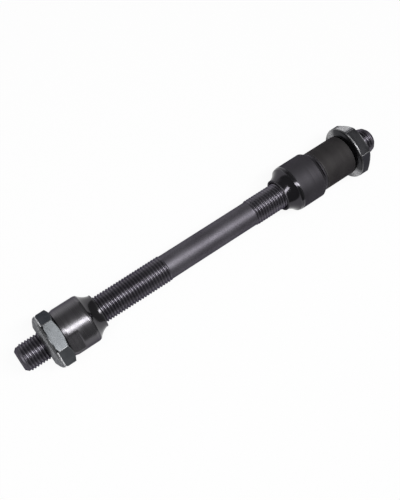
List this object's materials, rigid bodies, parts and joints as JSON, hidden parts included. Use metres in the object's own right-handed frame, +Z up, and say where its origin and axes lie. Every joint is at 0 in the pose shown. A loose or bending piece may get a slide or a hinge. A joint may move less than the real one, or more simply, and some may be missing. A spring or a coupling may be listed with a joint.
{
  "type": "hub axle",
  "caption": "Hollow rear bicycle hub axle with threaded ends and a plain shank, carrying bearing cones, a spacer sleeve and hexagon locknuts with crowned collars.",
  "frame": {"origin": "on the axle's axis, halfway along its length", "axes": "+Y along the axle towards the brake side, with the spanner-flat cone; -Y towards the sprocket side, with the spacer; +Z up, square to a pair of locknut flats"},
  "size_m": [0.0196, 0.1456, 0.0194],
  "materials": {
    "axle": "black oxide, satin",
    "left_locknut": "black oxide, matte on the flats",
    "left_cone": "black oxide, polished",
    "right_cone": "black oxide, polished",
    "spacer": "black oxide, matte",
    "right_locknut": "black oxide, matte on the flats"
  },
  "bodies": {
    "axle": {"axle": "axle"},
    "left_locknut": {"left_locknut": "left_locknut"},
    "left_cone": {"left_cone": "left_cone"},
    "right_cone": {"right_cone": "right_cone"},
    "spacer": {"spacer": "spacer"},
    "right_locknut": {"right_locknut": "right_locknut"}
  },
  "joints": [
    {"name": "left_locknut_travel", "type": "slide", "parent": "axle", "child": "left_locknut", "axis": [0, 1, 0], "range_m": [0, 0.009]},
    {"name": "left_cone_travel", "type": "slide", "parent": "axle", "child": "left_cone", "axis": [0, -1, 0], "range_m": [0, 0.026]},
    {"name": "right_cone_travel", "type": "slide", "parent": "axle", "child": "right_cone", "axis": [0, 1, 0], "range_m": [0, 0.012]},
    {"name": "right_locknut_travel", "type": "slide", "parent": "axle", "child": "right_locknut", "axis": [0, -1, 0], "range_m": [0, 0.0065]},
    {"name": "spacer_travel", "type": "slide", "parent": "axle", "child": "spacer", "axis": [0, -1, 0], "range_m": [0, 0.0065]}
  ],
  "couplings": [
    {"joint": "spacer_travel", "follows": "right_locknut_travel", "ratio": 1}
  ]
}
